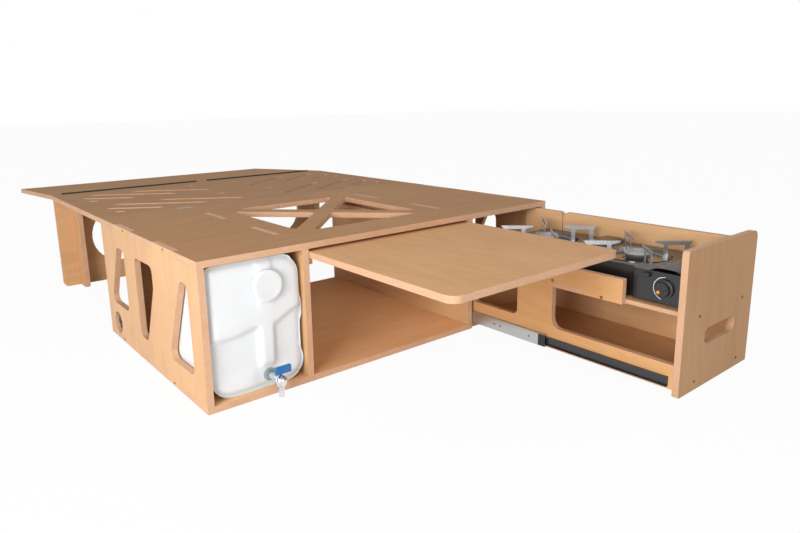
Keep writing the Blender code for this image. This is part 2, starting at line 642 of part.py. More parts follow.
# Water canister: a blow-moulded tank with a full upper half, a narrow spine below and a round mouth
CANISTER_SIDE_PLAY = 0.004
CANISTER_HEADROOM = 0.0055
CANISTER_DEEP = 0.310
CANISTER_SET_BACK = 0.006
CANISTER_ROUND = 0.010
BEVEL_ANGLE = radians(60)
FOOT_CORNER = 0.055
HEAD_CORNER = 0.062
SEAM_CORNER = 0.016
WAIST_IN = 0.008
FOOT_BULGE_SHARE = 0.20
HEAD_BULGE_SHARE = 0.64
RELIEF = 0.012
WAIST_SHARE = 0.474
SPINE_SHARES = (0.515, 0.668)
MOUTH_SHARES = (0.605, 0.80)
MOUTH_RADIUS = 0.044
CAP_RISE = 0.012
CAP_SHARES = (0.7, 0.93)
TAP_RAISED = 0.035
SPINE_FOOT = 0.026

canister_left, canister_right = PLY + CANISTER_SIDE_PLAY, LEFT_DIVIDER - CANISTER_SIDE_PLAY
canister_low, canister_top = PLY + GAP, CEILING - CANISTER_HEADROOM
canister_wide, canister_high = canister_right - canister_left, canister_top - canister_low
waist = canister_low + WAIST_SHARE * canister_high
spine_left, spine_right = [canister_left + share * canister_wide for share in SPINE_SHARES]
mouth_x, mouth_z = canister_left + MOUTH_SHARES[0] * canister_wide, canister_low + MOUTH_SHARES[1] * canister_high
tap_x, tap_z = mouth_x, canister_low + TAP_RAISED
canister_outline = rounded(
    [(canister_left, canister_low), (canister_right, canister_low),
     (canister_right, canister_low + FOOT_BULGE_SHARE * canister_high),
     (canister_right - WAIST_IN, canister_low + FOOT_BULGE_SHARE * canister_high + WAIST_IN),
     (canister_right - WAIST_IN, canister_low + WAIST_SHARE * canister_high),
     (canister_right, canister_low + WAIST_SHARE * canister_high + WAIST_IN),
     (canister_right, canister_low + HEAD_BULGE_SHARE * canister_high),
     (canister_right - WAIST_IN, canister_low + HEAD_BULGE_SHARE * canister_high + WAIST_IN),
     (canister_right - WAIST_IN, canister_top), (canister_left, canister_top)],
    [FOOT_CORNER, FOOT_CORNER, WAIST_IN, WAIST_IN, WAIST_IN, WAIST_IN, WAIST_IN, WAIST_IN, HEAD_CORNER, SEAM_CORNER],
    5)
canister = as_mesh(board("canister", canister_outline, "XZ", CANISTER_SET_BACK, CANISTER_DEEP, paint=WHITE_PLASTIC))
soften = canister.modifiers.new("soften", "BEVEL")
soften.width = CANISTER_ROUND
soften.segments = 4
soften.angle_limit = BEVEL_ANGLE
relief_front, relief_back = CANISTER_SET_BACK - OVERRUN, CANISTER_SET_BACK + RELIEF
reliefs = (("left", canister_left - OVERRUN, spine_left, waist),
           ("foot", spine_left - OVERRUN, spine_right + OVERRUN, tap_z + SPINE_FOOT),
           ("right", spine_right, canister_right + OVERRUN, waist))
for side, low, high, top in reliefs:
    cut(canister, block(f"canister_relief_{side}", (low, relief_front, canister_low - OVERRUN),
                        (high, relief_back, top), WHITE_PLASTIC))
cap_profile = [(0, 0), (MOUTH_RADIUS, 0), (MOUTH_RADIUS, -CAP_RISE * CAP_SHARES[0]),
               (MOUTH_RADIUS * CAP_SHARES[1], -CAP_RISE), (0, -CAP_RISE)]
turned("canister_cap", cap_profile, (mouth_x, CANISTER_SET_BACK - GAP, mouth_z), "Y", WHITE_PLASTIC, 40)

# Tap at the foot of the canister: gasket, ball valve with its spout, and a blue lever
GASKET_RADIUS = 0.018
GASKET_THICK = 0.0034
PIPE = 0.010
BALL = 0.017
TAP_REACH = 0.062
SPOUT = 0.0085
SPOUT_LONG = 0.043
LEVER_STEM = 0.004
LEVER_HIGH = 0.009
LEVER_SIZE = (0.048, 0.010, 0.022)
LEVER_TAIL = 0.016
BALL_STEPS = 10

tap_face = relief_back
tap_y = tap_face - TAP_REACH
gasket_profile = [(PIPE + GAP, 0), (GASKET_RADIUS, 0), (GASKET_RADIUS, -GASKET_THICK), (PIPE + GAP, -GASKET_THICK),
                  (PIPE + GAP, 0)]
turned("tap_gasket", gasket_profile, (tap_x, tap_face - GAP, tap_z), "Y", BLUE_PLASTIC, 24)
pipe_profile = [(0, 0), (PIPE, 0), (PIPE, -TAP_REACH), (0, -TAP_REACH)]
tap = turned("tap_body", pipe_profile, (tap_x, tap_face - GAP, tap_z), "Y", STEEL, 20)
ball_profile = [(BALL * sin(i * pi / BALL_STEPS), BALL * cos(i * pi / BALL_STEPS)) for i in range(1, BALL_STEPS)]
ball_profile = [(0, BALL), *ball_profile, (0, -BALL)]
cut(tap, turned("tap_ball", ball_profile, (tap_x, tap_y, tap_z), "Z", STEEL, 20), "UNION")
spout = disc("tap_spout", (tap_x, tap_y, tap_z - SPOUT_LONG), SPOUT, SPOUT_LONG, "Z", STEEL, 20)
cut(tap, spout, "UNION")
lever_foot = tap_z + BALL + GAP
lever = disc("tap_lever", (tap_x, tap_y, lever_foot), LEVER_STEM, LEVER_HIGH, "Z", BLUE_PLASTIC, 12)
grip_low = lever_foot + LEVER_HIGH / 4
grip = block("tap_lever_grip", (tap_x - LEVER_TAIL, tap_y - LEVER_SIZE[1] / 2, grip_low),
             (tap_x - LEVER_TAIL + LEVER_SIZE[0], tap_y + LEVER_SIZE[1] / 2, grip_low + LEVER_SIZE[2]), BLUE_PLASTIC,
             LEVER_SIZE[1] / 3)
cut(lever, grip, "UNION")

# Two cassette stoves side by side on the drawer's shelf, controls toward -X
STOVE_WIDE = 0.320
STOVE_DEEP = 0.270
STOVE_INSET = 0.0184
STOVE_APART = 0.002
STOVE_FROM_FRONT = 0.004
FOOT_HIGH = 0.006
FOOT_RADIUS = 0.010
FOOT_INSET = 0.024
FOOT_SUNK = 0.002
CASE_HIGH = 0.084
CASE_ROUND = 0.012
PANEL_WIDE = 0.150
PANEL_STEP = 0.014
BURNER_ALONG = 0.216
PAN_RADIUS = 0.098
PAN_DEEP = 0.012
PAN_LIP = 0.006
PAN_SHEET = 0.0012
PAN_HOLE = 0.040
BURNER_RADIUS = 0.0365
BURNER_HIGH = 0.025
BURNER_SHARES = ((0, 0.86), (0.45, 0.8), (0.55, 1), (0.85, 1), (1, 0.7), (0.8, 0), (0, 0))
TIN_BAY = (0.008, 0.100)
TIN_BAY_FRONT = 0.018
TIN_BAY_BACK = 0.009
TIN_BAY_FLOOR = 0.004
LID_SHEET = 0.0015
LID_RISE = 0.010
LID_EDGE = 0.004
LID_OVER = 0.0015
LID_STEPS = 12
TIN_RADIUS = 0.033
TIN_LENGTH = 0.186
TIN_NECK = 0.0115
DIAL_ALONG = 0.055
DIAL_RADIUS = 0.026
DIAL_THICK = 0.016
DIAL_RAISED = 0.041
DIAL_SHARES = ((0, 0), (1, 0), (1, -0.4), (0.8, -0.5), (0.72, -1), (0, -1))
LOCK_ALONG = 0.106
LOCK_BELOW_TOP = 0.013
LOCK_TRAVEL = 0.012
LOCK_SIZE = (0.012, 0.020, 0.012)
SUPPORT_SHEET = 0.002
SUPPORT_ABOVE = 0.0427
SUPPORT_INNER = 0.050
SUPPORT_OUTER = 0.157
SUPPORT_BAR = 0.013
INNER_LEG = (0.0745, 0.0875)
OUTER_LEG = (0.1335, 0.1465)
SUPPORT_TURN = 45
RING_SHARES = (0.25, 0.75)
RING_HIGH = 0.003
TEETH = 10
TOOTH = 0.0022


def support_outline(foot, rim, top):
    # A bracket on a line out from the burner: a toothed bar, a long inner leg and a short outer one
    under = top - SUPPORT_BAR
    points = [(SUPPORT_INNER, top - SUPPORT_BAR / 2), (INNER_LEG[0], under), (INNER_LEG[0], foot),
              (INNER_LEG[1], foot), (INNER_LEG[1], under), (OUTER_LEG[0], under), (OUTER_LEG[0], rim),
              (OUTER_LEG[1], rim), (OUTER_LEG[1], under), (SUPPORT_OUTER, top)]
    step = (SUPPORT_OUTER - SUPPORT_INNER) / TEETH
    for tooth in range(TEETH):
        right = SUPPORT_OUTER - tooth * step
        points += [(right - step / 2, top - TOOTH), (right - step, top)]
    return points


def lid_outline(low, high, floor):
    # A thin arched sheet with its two edges on the case
    half, middle = (high - low) / 2, (low + high) / 2
    outside, inside = [], []
    for step in range(LID_STEPS + 1):
        share = 2 * step / LID_STEPS - 1
        rise = LID_RISE * (1 - share ** 4)
        outside.append((middle + half * share, floor + rise))
        inside.append((middle + (half - 2 * LID_SHEET) * share, floor + max(rise - LID_SHEET, 0)))
    return outside + inside[::-1]


def stove(name, along):
    # along is where the stove's front end lies; its depth runs from u0 to u1
    foot_low = shelf_high + GAP
    case_low = foot_low + FOOT_HIGH
    case_top = case_low + CASE_HIGH
    u0, u1 = inside_left + STOVE_INSET, inside_left + STOVE_INSET + STOVE_DEEP
    centre_u, burner_y = (u0 + u1) / 2, along + BURNER_ALONG
    pan_floor = case_top - PAN_DEEP
    pan_low = pan_floor + GAP

    plan = [(u0, along), (u1, along), (u1, along + STOVE_WIDE), (u0 + PANEL_STEP, along + STOVE_WIDE),
            (u0 + PANEL_STEP, along + PANEL_WIDE), (u0, along + PANEL_WIDE)]
    radii = [CASE_ROUND / 2, CASE_ROUND, CASE_ROUND, CASE_ROUND, 0, CASE_ROUND / 2]
    case = as_mesh(board(f"{name}_case", rounded(plan, radii, 3), "XY", case_low, CASE_HIGH, paint=BLACK_ENAMEL))
    well = disc(f"{name}_pan_well", (centre_u, burner_y, pan_floor), PAN_RADIUS, PAN_DEEP + OVERRUN, "Z",
                BLACK_ENAMEL, 40)
    cut(case, well)
    for foot_x in (u0 + PANEL_STEP + FOOT_INSET, u1 - FOOT_INSET):
        for foot_y in (along + FOOT_INSET, along + STOVE_WIDE - FOOT_INSET):
            foot = disc(f"{name}_foot", (foot_x, foot_y, foot_low), FOOT_RADIUS, FOOT_HIGH + FOOT_SUNK, "Z",
                        BLACK_PLASTIC, 16)
            cut(case, foot, "UNION")
    cut(case, block(f"{name}_tin_bay", (u0 + TIN_BAY_FRONT, along + TIN_BAY[0], case_low + TIN_BAY_FLOOR),
                    (u1 - TIN_BAY_BACK, along + TIN_BAY[1], case_top + OVERRUN), BLACK_ENAMEL))

    rim, flat = PAN_RADIUS - GAP, PAN_RADIUS - PAN_LIP
    dish = [(PAN_HOLE, PAN_SHEET), (flat, PAN_SHEET), (rim, PAN_DEEP + PAN_SHEET), (rim, PAN_DEEP),
            (flat, 0), (PAN_HOLE, 0), (PAN_HOLE, PAN_SHEET)]
    turned(f"{name}_drip_pan", dish, (centre_u, burner_y, pan_low), "Z", STEEL, 40)
    head = [(BURNER_RADIUS * u, BURNER_HIGH * v) for u, v in BURNER_SHARES]
    turned(f"{name}_burner", head, (centre_u, burner_y, pan_low), "Z", STEEL, 28)
    foot = pan_low + PAN_SHEET + GAP
    outline = support_outline(foot, case_top + GAP, case_top + SUPPORT_ABOVE)
    hub = Vector((centre_u, burner_y, 0))
    inside, outside = [INNER_LEG[0] + (INNER_LEG[1] - INNER_LEG[0]) * share for share in RING_SHARES]
    band = [(outside, RING_HIGH), (outside, 0), (inside, 0), (inside, RING_HIGH), (outside, RING_HIGH)]
    ring = turned(f"{name}_pan_supports", band, (centre_u, burner_y, foot), "Z", STEEL, 40)
    for quarter in range(4):
        bracket = board(f"{name}_bracket_{quarter}", outline, "XZ", -SUPPORT_SHEET / 2, SUPPORT_SHEET, paint=STEEL)
        turn = Matrix.Rotation(radians(SUPPORT_TURN + 90 * quarter), 4, "Z")
        bracket.matrix_world = Matrix.Translation(SHIFT + hub) @ turn @ PLANES["XZ"][0]
        cut(ring, as_mesh(bracket), "UNION")

    lid = lid_outline(along + TIN_BAY[0] - LID_OVER, along + TIN_BAY[1] + LID_OVER, case_top + GAP)
    board(f"{name}_cartridge_lid", lid, "YZ", u0 + LID_EDGE, STOVE_DEEP - 2 * LID_EDGE, paint=BLACK_ENAMEL)
    tin = [(0, TIN_LENGTH), (TIN_NECK, TIN_LENGTH), (TIN_NECK, TIN_LENGTH - TIN_NECK),
           (TIN_RADIUS, TIN_LENGTH - 2 * TIN_NECK), (TIN_RADIUS, 0), (0, 0)]
    tin_at = (u0 + TIN_BAY_FRONT + GAP, along + sum(TIN_BAY) / 2, case_low + TIN_BAY_FLOOR + GAP + TIN_RADIUS)
    turned(f"{name}_gas_cartridge", tin, tin_at, "X", STEEL, 24)

    face, dial_z = u0 - GAP, case_low + DIAL_RAISED
    dial = [(DIAL_RADIUS * u, DIAL_THICK * v) for u, v in DIAL_SHARES]
    turned(f"{name}_dial", dial, (face, along + DIAL_ALONG, dial_z), "X", BLACK_PLASTIC, 32)
    lock_z = case_top - LOCK_BELOW_TOP
    block(f"{name}_lock_lever", (face - LOCK_SIZE[0], along + LOCK_ALONG - LOCK_SIZE[1] / 2, lock_z - LOCK_SIZE[2] / 2),
          (face, along + LOCK_ALONG + LOCK_SIZE[1] / 2, lock_z + LOCK_SIZE[2] / 2), BLACK_PLASTIC,
          LOCK_SIZE[2] / 6, 1)


STOVES = {"front_stove": drawer_face + STOVE_FROM_FRONT,
          "rear_stove": drawer_face + STOVE_FROM_FRONT + STOVE_WIDE + STOVE_APART}
for name, along in STOVES.items():
    stove(name, along)

# Each moving piece hangs from an empty on the axis that it turns or slides along


def hang(name, where, pieces):
    pivot = bpy.data.objects.new(name, None)
    pivot.location = SHIFT + Vector(where)
    collection.objects.link(pivot)
    for piece in pieces:
        child = bpy.data.objects[piece]
        child.parent = pivot
        child.matrix_parent_inverse = Matrix.Translation(pivot.location).inverted()


bed_middle = ["bed_board_middle"]
bed_end = ["bed_board_end"]
for hand in ("left", "right"):
    bed_middle += [f"lift_hinge_{hand}_bed_leaf", f"fold_hinge_{hand}_middle_leaf"]
    bed_end += [f"fold_hinge_{hand}_end_leaf"]
hang("bed_lift_axis", (0, lift_y, lift_z), bed_middle)
hang("end_fold_axis", (0, fold_y, fold_z), bed_end)
hang("clamp_left_axis", (0, clamp_y, clamp_z), ["clamp_knob_left"])
hang("clamp_right_axis", (WIDTH, clamp_y, clamp_z), ["clamp_knob_right"])
hang("leg_stand_slide", (0, stand_y, 0), ["stand_panel", "stand_fin_left", "stand_fin_right"])
hang("table_slide", (LEFT_DIVIDER + PLY, 0, table_low), ["table_board"])
lid_hinge = inside_left + STOVE_INSET + STOVE_DEEP - LID_EDGE
for name, along in STOVES.items():
    hang(f"{name}_lid_axis", (lid_hinge, along, shelf_high + GAP + FOOT_HIGH + CASE_HIGH + GAP),
         [f"{name}_cartridge_lid"])
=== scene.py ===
from math import cos, pi, radians, sin

import bmesh
import bpy
from mathutils import Matrix, Vector


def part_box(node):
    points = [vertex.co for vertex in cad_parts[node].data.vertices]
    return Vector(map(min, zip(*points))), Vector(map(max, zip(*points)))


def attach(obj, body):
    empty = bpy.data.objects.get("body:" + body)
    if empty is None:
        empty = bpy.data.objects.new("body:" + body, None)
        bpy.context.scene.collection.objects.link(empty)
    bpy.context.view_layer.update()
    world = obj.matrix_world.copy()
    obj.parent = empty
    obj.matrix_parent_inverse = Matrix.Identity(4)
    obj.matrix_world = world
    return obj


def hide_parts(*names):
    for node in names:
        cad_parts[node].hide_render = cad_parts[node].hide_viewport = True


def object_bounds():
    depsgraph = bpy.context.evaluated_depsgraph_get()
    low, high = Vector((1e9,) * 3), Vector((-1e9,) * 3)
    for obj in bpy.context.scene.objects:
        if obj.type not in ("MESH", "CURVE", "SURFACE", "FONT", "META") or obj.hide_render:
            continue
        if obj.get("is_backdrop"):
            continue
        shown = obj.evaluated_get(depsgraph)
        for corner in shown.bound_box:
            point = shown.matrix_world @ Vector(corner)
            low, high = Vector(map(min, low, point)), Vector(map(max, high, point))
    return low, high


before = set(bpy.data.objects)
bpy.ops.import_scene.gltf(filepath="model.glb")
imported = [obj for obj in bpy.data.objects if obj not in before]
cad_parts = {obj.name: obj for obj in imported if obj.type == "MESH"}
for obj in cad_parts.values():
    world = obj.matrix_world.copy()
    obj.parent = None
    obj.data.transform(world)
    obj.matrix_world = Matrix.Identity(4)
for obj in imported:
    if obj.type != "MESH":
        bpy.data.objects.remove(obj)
cad_box = [list(corner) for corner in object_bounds()]

# ---- The studio: a white floor with a soft shadow, a white surround and large soft lamps at the left, near the
# camera, as in the photograph. The camera stands where the photograph's lines meet.
scene = bpy.context.scene
scene.view_settings.view_transform = "Standard"

YAW, PITCH, ROLL = 0.6762, 0.2103, 0.0178
ahead = Vector((sin(YAW) * cos(PITCH), cos(YAW) * cos(PITCH), -sin(PITCH)))
level = Vector((cos(YAW), -sin(YAW), 0))
down = ahead.cross(level)
right = level * cos(ROLL) + down * sin(ROLL)
down = down * cos(ROLL) - level * sin(ROLL)
camera = bpy.data.objects.new("camera", bpy.data.cameras.new("camera"))
scene.collection.objects.link(camera)
camera.matrix_world = Matrix.LocRotScale(
    Vector((-1.2448, -1.8757, 0.7794)), Matrix((right, -down, -ahead)).transposed().to_quaternion(), None)
camera.data.lens = 28.749
camera.data.shift_x, camera.data.shift_y = 0.01234, -0.03748
camera.data.clip_start = 0.02
scene.camera = camera


class Socket:
    """A shader value, so that maths on it is written as Python."""

    tree = None

    def __init__(self, link):
        self.link = link

    @classmethod
    def node(cls, kind, settings=(), output=0, **inputs):
        made = cls.tree.nodes.new(kind)
        for name, value in dict(settings).items():
            if name == "stops":
                ramp = made.color_ramp
                while len(ramp.elements) < len(value):
                    ramp.elements.new(0.5)
                for element, (place, colour) in zip(ramp.elements, value):
                    element.position = place
                    element.color = (*colour, 1) if len(colour) == 3 else colour
            else:
                setattr(made, name, value)
        for name, value in inputs.items():
            place = int(name[1:]) if name[0] == "i" and name[1:].isdigit() else name.replace("_", " ")
            if isinstance(value, Socket):
                cls.tree.links.new(value.link, made.inputs[place])
            else:
                made.inputs[place].default_value = value
        return cls(made.outputs[output])

    def maths(self, operation, other=0.0, third=0.0):
        return Socket.node("ShaderNodeMath", {"operation": operation}, i0=self, i1=other, i2=third)

    def __add__(self, other):
        return self.maths("ADD", other)

    def __mul__(self, other):
        return self.maths("MULTIPLY", other)

    def __sub__(self, other):
        return self.maths("SUBTRACT", other)

    def __rsub__(self, other):
        return Socket.node("ShaderNodeMath", {"operation": "SUBTRACT"}, i0=other, i1=self)

    def __truediv__(self, other):
        return self.maths("DIVIDE", other)

    __radd__ = __add__
    __rmul__ = __mul__

    def step(self, low, high, start=0.0, stop=1.0):
        return Socket.node("ShaderNodeMapRange", {"interpolation_type": "SMOOTHSTEP"}, Value=self,
                           i1=low, i2=high, i3=start, i4=stop)


def blend(factor, first, second):
    # One colour over another
    first, second = [c if isinstance(c, Socket) else (*c, 1) for c in (first, second)]
    return Socket.node("ShaderNodeMix", {"data_type": "RGBA"}, 2, i0=factor, i6=first, i7=second)


def stretched(scale, shift=(0, 0, 0), turn=(0, 0, 0)):
    place = Socket.node("ShaderNodeTexCoord", output=3)
    return Socket.node("ShaderNodeMapping", Vector=place, Scale=scale, Location=shift, Rotation=turn)


def noise(scale, detail=2.0, vector=None, rough=0.5, twist=0.0):
    vector = vector or stretched((1, 1, 1))
    return Socket.node("ShaderNodeTexNoise", Vector=vector, Scale=scale, Detail=detail, Roughness=rough,
                       Distortion=twist)


def material(name, paint):
    # paint returns the shader's sockets by name, with a height under bump
    made = bpy.data.materials.new(name)
    made.use_nodes = True
    Socket.tree = made.node_tree
    shader = made.node_tree.nodes["Principled BSDF"]
    sockets = paint()
    height = sockets.pop("bump", None)
    if height:
        level_of, depth = height
        sockets["Normal"] = Socket.node("ShaderNodeBump", Height=level_of, Distance=depth, Strength=1.0)
    for socket, value in sockets.items():
        if isinstance(value, Socket):
            made.node_tree.links.new(value.link, shader.inputs[socket])
        else:
            shader.inputs[socket].default_value = (*value, 1) if isinstance(value, tuple) else value
    return made


def dress(nodes, made):
    # A CAD node keeps its mesh and takes this material
    for node in [nodes] if isinstance(nodes, str) else nodes:
        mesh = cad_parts[node].data
        mesh.materials.clear()
        mesh.materials.append(made)


floor_mesh = bmesh.new()
bmesh.ops.create_grid(floor_mesh, x_segments=1, y_segments=1, size=30)
floor = bpy.data.objects.new("floor", bpy.data.meshes.new("floor"))
floor_mesh.to_mesh(floor.data)
floor_mesh.free()
floor.location.z = -0.0006
scene.collection.objects.link(floor)
floor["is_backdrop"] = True


def floor_paint():
    return {"Base Color": (0.88, 0.88, 0.88), "Roughness": 0.9, "Specular IOR Level": 0.1}


floor_white = material("floor_white", floor_paint)
Socket.tree = floor_white.node_tree
rays = floor_white.node_tree.nodes.new("ShaderNodeLightPath")
glow = Socket.node("ShaderNodeEmission", Color=(1, 1, 1, 1), Strength=1.0)
seen = Socket(rays.outputs["Is Camera Ray"]).maths("MAXIMUM", Socket(rays.outputs["Is Glossy Ray"]))
lit = Socket(floor_white.node_tree.nodes["Principled BSDF"].outputs[0])
mixed = Socket.node("ShaderNodeMixShader", i0=seen * 0.95, i1=lit, i2=glow)
floor_white.node_tree.links.new(mixed.link, floor_white.node_tree.nodes["Material Output"].inputs["Surface"])
floor.data.materials.append(floor_white)

world = bpy.data.worlds.new("surround")
scene.world = world
world.use_nodes = True
Socket.tree = world.node_tree
rays = world.node_tree.nodes.new("ShaderNodeLightPath")
seen = Socket(rays.outputs["Is Camera Ray"]).maths("MAXIMUM", Socket(rays.outputs["Is Transmission Ray"]))
strength = seen * 0.54 + 0.46
world.node_tree.links.new(strength.link, world.node_tree.nodes["Background"].inputs["Strength"])
world.node_tree.nodes["Background"].inputs["Color"].default_value = (1, 1, 1, 1)

for name, place, aim, size, power in (
        ("key_lamp", (-3.1, -1.7, 1.2), (0.0, -0.2, 0.2), 1.8, 98),
        ("fill_lamp", (-0.8, -4.0, 1.5), (0.3, -0.3, 0.2), 2.4, 27),
        ("top_lamp", (0.3, 0.3, 3.4), (0.0, 0.2, 0.3), 3.0, 9)):
    lamp = bpy.data.objects.new(name, bpy.data.lights.new(name, "AREA"))
    lamp.data.size = size
    lamp.data.energy = power
    lamp.location = place
    lamp.rotation_euler = (Vector(aim) - Vector(place)).to_track_quat("-Z", "Y").to_euler()
    scene.collection.objects.link(lamp)

# ---- Birch plywood: 18 mm boards of thirteen thin veneers, cut on a router and oiled. The faces show wide, faint
# figure from the rotary-cut veneer, and every cut edge shows the veneers as light and dark lines.
PLY = 0.018
VENEERS = 13
FACE_LIGHT = (0.66, 0.385, 0.190)
FACE_DARK = (0.50, 0.265, 0.115)
FACE_PALE = (0.76, 0.49, 0.275)
EDGE_LIGHT = (0.74, 0.46, 0.30)
EDGE_DARK = (0.36, 0.165, 0.070)
AXES = "XYZ"
ACROSS_SCALE, ALONG_SCALE, THROUGH_SCALE = 5.5, 0.9, 0.35
FIBRE_SCALES = (420.0, 9.0, 3.0)
RING_COUNT = 46.0
SEED_STEP = 1.7


def plywood(name, across, base, along, painted_light_tint=(1, 1, 1), seed=0.0):
    # across is the axis through the board from its face at base, and along is the face grain's axis.
    # painted_light_tint scales the wood colours as painted light and painted shade for how the lamps fall on this
    # board
    def paint():
        grain_axis, through_axis = AXES.index(along), AXES.index(across)
        scale = [ACROSS_SCALE] * 3
        scale[grain_axis] = ALONG_SCALE
        scale[through_axis] = THROUGH_SCALE
        figure = noise(1.0, 3.0, stretched(scale, (seed, seed * 0.7, seed * 1.3)), 0.55, 0.6)
        rings = Socket.node("ShaderNodeMath", {"operation": "SINE"}, i0=figure * RING_COUNT) * 0.5 + 0.5
        fibre_scale = [FIBRE_SCALES[0]] * 3
        fibre_scale[grain_axis], fibre_scale[through_axis] = FIBRE_SCALES[1:]
        fibre = noise(1.0, 2.0, stretched(fibre_scale), 0.6)
        patch = noise(2.3, 3.0, stretched((1, 1, 1), (seed * 2, 0, 0)), 0.6)
        flame = noise(1.0, 2.0, stretched([s * 2.6 for s in scale], (0, seed, 0)), 0.5)
        # Painted light and shade: the per-board tint darkens or lightens the same birch for how the light falls on
        # this board
        light, dark, pale = [tuple(c * t for c, t in zip(colour, painted_light_tint))
                             for colour in (FACE_LIGHT, FACE_DARK, FACE_PALE)]
        face = blend(rings.step(0.35, 0.95, 0.0, 0.18), light, dark)
        face = blend(patch.step(0.45, 0.72, 0.0, 0.34), face, pale)
        face = blend(flame.step(0.58, 0.74, 0.0, 0.22), face, dark)
        face = blend(fibre.step(0.40, 0.72, 0.0, 0.30), face, dark)
        knots = Socket.node("ShaderNodeTexVoronoi", {"feature": "F1"}, Scale=7.0,
                            Vector=stretched((1, 1, 1), (seed, seed, seed)))
        face = blend(knots.step(0.012, 0.030, 0.75, 0.0), face, EDGE_DARK)
        place = Socket.node("ShaderNodeSeparateXYZ", output=through_axis, i0=stretched((1, 1, 1)))
        depth = (place - base) / (PLY / VENEERS)
        line = depth.maths("FRACT").maths("SUBTRACT", 0.5).maths("ABSOLUTE").step(0.26, 0.44)
        odd = (depth * 0.5).maths("FRACT").maths("LESS_THAN", 0.5)
        grit = noise(260.0, 2.0)
        edge = blend(odd * 0.34, EDGE_LIGHT, FACE_LIGHT)
        edge = blend(line * grit.step(0.3, 0.65, 0.30, 0.80), edge, EDGE_DARK)
        edge = blend(noise(9.0, 2.0).step(0.45, 0.7, 0.0, 0.25), edge, FACE_DARK)
        turned_to = Socket.node("ShaderNodeSeparateXYZ", output=through_axis,
                                i0=Socket.node("ShaderNodeTexCoord", output=1))
        on_edge = turned_to.maths("ABSOLUTE").step(0.45, 0.75, 1.0, 0.0)
        height = fibre * 0.6 + rings * 0.15 + line * on_edge * 1.2
        return {"Base Color": blend(on_edge, face, edge), "Roughness": 0.50 + fibre * 0.16,
                "Specular IOR Level": 0.35, "bump": (height, 0.00012)}
    return material(name, paint)


# The third value of each board is a painted light tint. It is painted shade on the top boards, bed boards and drawer
# front, and painted light on the bottom panel, table and right drawer side, standing in for how the lamps fall on
# them
boards = {
    "side_panel_left": ("X", "Z", (1.02, 1.04, 1.10)), "side_panel_right": ("X", "Z", (1, 1, 1)),
    "divider_left": ("X", "Y", (1, 1, 1)), "divider_right": ("X", "Y", (1, 1, 1)),
    "canister_back_panel": ("Y", "X", (1, 1, 1)),
    "top_panel": ("Z", "X", (0.74, 0.66, 0.56)), "bottom_panel": ("Z", "X", (1.35, 1.35, 1.35)),
    "bed_board_middle": ("Z", "X", (0.70, 0.63, 0.54)), "bed_board_end": ("Z", "X", (0.74, 0.66, 0.56)),
    "stand_panel": ("Y", "X", (1, 1, 1)), "stand_fin_left": ("X", "Z", (1, 1, 1)),
    "stand_fin_right": ("X", "Z", (1, 1, 1)),
    "table_board": ("Z", "Y", (1.10, 1.04, 0.98)), "table_runner_left": ("Z", "Y", (1, 1, 1)),
    "table_runner_right": ("Z", "Y", (1, 1, 1)),
    "drawer_side_left": ("X", "Y", (1.03, 0.98, 0.86)), "drawer_side_right": ("X", "Y", (1.12, 1.14, 1.16)),
    "drawer_bottom": ("Z", "Y", (1, 1, 1)), "drawer_back": ("Y", "X", (1, 1, 1)),
    "stove_shelf": ("Z", "Y", (1, 1, 1)), "drawer_front": ("Y", "Z", (0.72, 0.68, 0.64)),
}
for number, (board, (across, along, painted_light_tint)) in enumerate(boards.items()):
    low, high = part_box(board)
    dress(board, plywood(f"{board}_birch", across, low[AXES.index(across)], along, painted_light_tint,
                          number * SEED_STEP))


# ---- The water canister: a tall jerrican, blow-moulded in milky white polythene, standing in the left bay. Its
# front wall has a full upper block with a brow, panels that lie back below it, and a spine down to the tap.
def finished(name, shape, made, body, replaced=(), smooth=True):
    mesh = bpy.data.meshes.new(name)
    bmesh.ops.recalc_face_normals(shape, faces=shape.faces)
    shape.to_mesh(mesh)
    shape.free()
    mesh.materials.append(made)
    if smooth:
        mesh.polygons.foreach_set("use_smooth", [True] * len(mesh.polygons))
    piece = bpy.data.objects.new(name, mesh)
    scene.collection.objects.link(piece)
    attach(piece, body)
    if replaced:
        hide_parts(*replaced)
    return piece


def milky_paint():
    cloud = noise(9.0, 3.0)
    grain = noise(900.0, 2.0)
    return {"Base Color": blend(cloud.step(0.35, 0.7, 0.0, 0.5), (0.76, 0.78, 0.795), (0.73, 0.75, 0.765)),
            "Roughness": 0.30 + cloud * 0.12, "Subsurface Weight": 0.25, "Subsurface Scale": 0.02,
            "Coat Weight": 0.15, "bump": (grain * 0.3 + cloud * 0.7, 0.00035)}


milky = material("canister_milky_white", milky_paint)


def smooth_step(value, low, high):
    share = min(max((value - low) / (high - low), 0.0), 1.0)
    return share * share * (3 - 2 * share)


